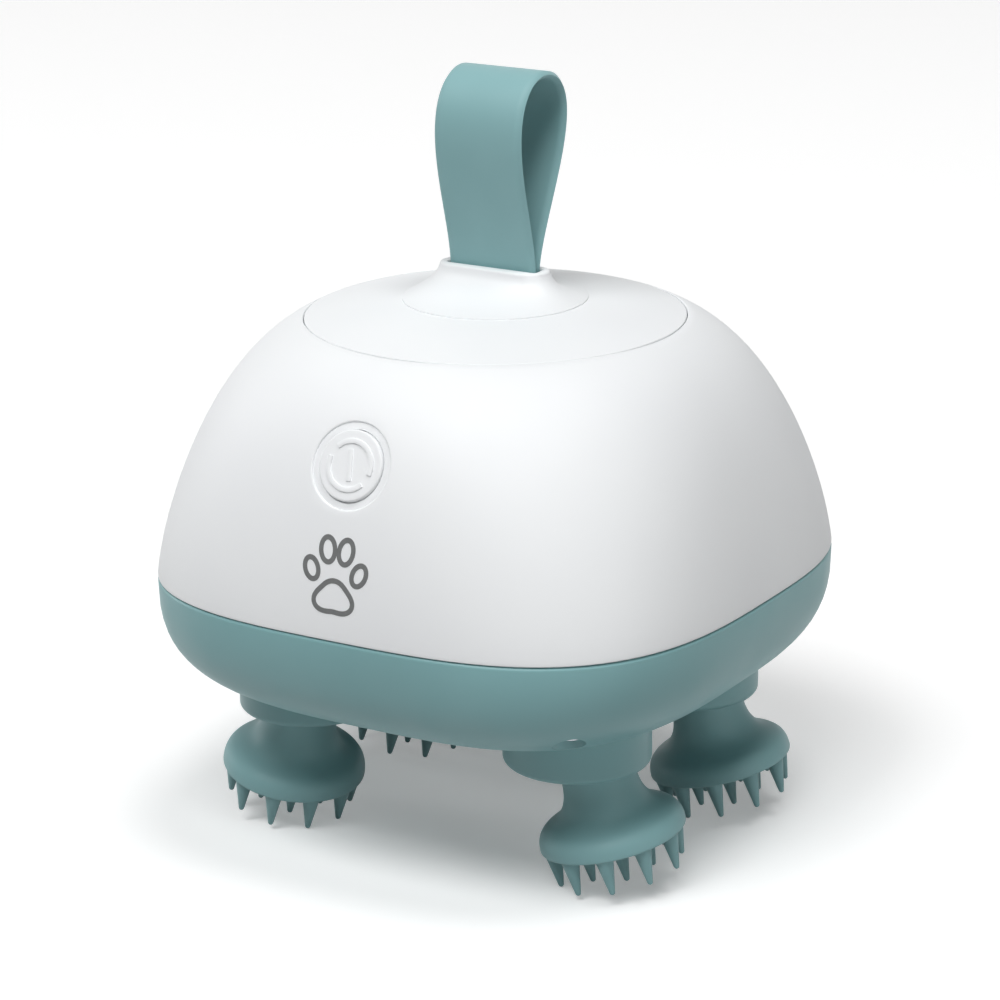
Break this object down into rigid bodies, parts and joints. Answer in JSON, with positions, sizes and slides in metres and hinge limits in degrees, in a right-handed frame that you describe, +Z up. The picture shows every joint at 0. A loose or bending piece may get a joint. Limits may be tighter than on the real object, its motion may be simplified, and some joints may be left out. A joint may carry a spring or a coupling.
{
  "type": "electric pet massager",
  "caption": "Palm-held electric pet massager with turning silicone heads under a domed white case and a silicone finger strap on top",
  "frame": {"origin": "centre of the underside of its box, on the plane that the tine tips stand on", "axes": "+Z up, -Y front with the power button, +Y back with the charging pad, +X right"},
  "size_m": [0.106, 0.106, 0.1346],
  "materials": {
    "white_abs": "moulded ABS, satin polish",
    "teal_abs": "moulded ABS, fine satin",
    "teal_silicone": "moulded silicone, smooth matt",
    "grey_nylon": "moulded",
    "acetal": "moulded, natural",
    "bright_steel": "turned or plated",
    "sintered_brass": "sintered, oil-filled",
    "gold_plate": "plated",
    "black_rubber": "moulded",
    "black_plastic": "moulded",
    "circuit_board": "solder resist",
    "pad_plastic": "moulded",
    "cell_wrap": "shrink sleeve",
    "lead_pvc": "extruded"
  },
  "bodies": {
    "housing": {"top_shell": "white_abs", "top_cover": "white_abs", "strap": "teal_silicone", "strap_pin": "bright_steel", "cover_screws": "bright_steel", "base_shell": "teal_abs", "seam_gasket": "black_rubber", "shell_screws": "bright_steel", "button_seal": "black_rubber", "push_switch": "black_plastic", "control_board": "circuit_board", "board_screws": "bright_steel", "charge_pad": "pad_plastic", "charge_contacts": "gold_plate", "charge_leads": "lead_pvc", "battery_cell": "cell_wrap", "battery_cradle": "black_plastic", "battery_leads": "lead_pvc", "motor_can": "bright_steel", "motor_screws": "bright_steel", "motor_leads": "lead_pvc", "chassis_plate": "acetal", "chassis_screws": "bright_steel", "reduction_pin": "bright_steel", "idler_pins": "bright_steel", "lower_bushes": "sintered_brass", "upper_bushes": "sintered_brass", "spindle_seals": "black_rubber"},
    "front_right": {"spindle_front_right": "bright_steel", "spindle_gear_front_right": "acetal", "collar_front_right": "teal_abs", "head_core_front_right": "grey_nylon", "massage_head_front_right": "teal_silicone"},
    "front_left": {"spindle_front_left": "bright_steel", "spindle_gear_front_left": "acetal", "collar_front_left": "teal_abs", "head_core_front_left": "grey_nylon", "massage_head_front_left": "teal_silicone"},
    "back_right": {"spindle_back_right": "bright_steel", "spindle_gear_back_right": "acetal", "collar_back_right": "teal_abs", "head_core_back_right": "grey_nylon", "massage_head_back_right": "teal_silicone"},
    "back_left": {"spindle_back_left": "bright_steel", "spindle_gear_back_left": "acetal", "collar_back_left": "teal_abs", "head_core_back_left": "grey_nylon", "massage_head_back_left": "teal_silicone"},
    "idler_right": {"idler_gear_right": "acetal"},
    "idler_left": {"idler_gear_left": "acetal"},
    "reduction": {"reduction_gear": "acetal"},
    "motor_rotor": {"motor_shaft": "bright_steel", "motor_pinion": "sintered_brass"},
    "button": {"power_button": "white_abs"}
  },
  "joints": [
    {"name": "front_right_spin", "type": "hinge", "parent": "housing", "child": "front_right", "pos_m": [0.02708, -0.0196, 0], "axis": [0, 0, 1], "continuous": true},
    {"name": "front_left_spin", "type": "hinge", "parent": "housing", "child": "front_left", "pos_m": [-0.02708, -0.0196, 0], "axis": [0, 0, 1], "continuous": true},
    {"name": "back_right_spin", "type": "hinge", "parent": "housing", "child": "back_right", "pos_m": [0.02708, 0.0196, 0], "axis": [0, 0, 1], "continuous": true},
    {"name": "back_left_spin", "type": "hinge", "parent": "housing", "child": "back_left", "pos_m": [-0.02708, 0.0196, 0], "axis": [0, 0, 1], "continuous": true},
    {"name": "idler_right_spin", "type": "hinge", "parent": "housing", "child": "idler_right", "pos_m": [0.01, 0, 0], "axis": [0, 0, 1], "continuous": true},
    {"name": "idler_left_spin", "type": "hinge", "parent": "housing", "child": "idler_left", "pos_m": [-0.01, 0, 0], "axis": [0, 0, 1], "continuous": true},
    {"name": "reduction_spin", "type": "hinge", "parent": "housing", "child": "reduction", "pos_m": [0.00411, 0.01701, 0], "axis": [0, 0, 1], "continuous": true},
    {"name": "motor_spin", "type": "hinge", "parent": "housing", "child": "motor_rotor", "pos_m": [0, 0, 0], "axis": [0, 0, 1], "continuous": true},
    {"name": "button_press", "type": "slide", "parent": "housing", "child": "button", "axis": [0, 0.9131, -0.4077], "range_m": [0, 0.0008], "stiffness_N_per_m": 2500}
  ],
  "couplings": [
    {"joint": "back_right_spin", "follows": "front_right_spin", "ratio": 1},
    {"joint": "front_left_spin", "follows": "front_right_spin", "ratio": -1},
    {"joint": "back_left_spin", "follows": "front_right_spin", "ratio": -1},
    {"joint": "idler_right_spin", "follows": "front_right_spin", "ratio": -1.6},
    {"joint": "idler_left_spin", "follows": "front_right_spin", "ratio": 1.6},
    {"joint": "reduction_spin", "follows": "front_right_spin", "ratio": 6.4},
    {"joint": "motor_spin", "follows": "front_right_spin", "ratio": -38.4}
  ]
}
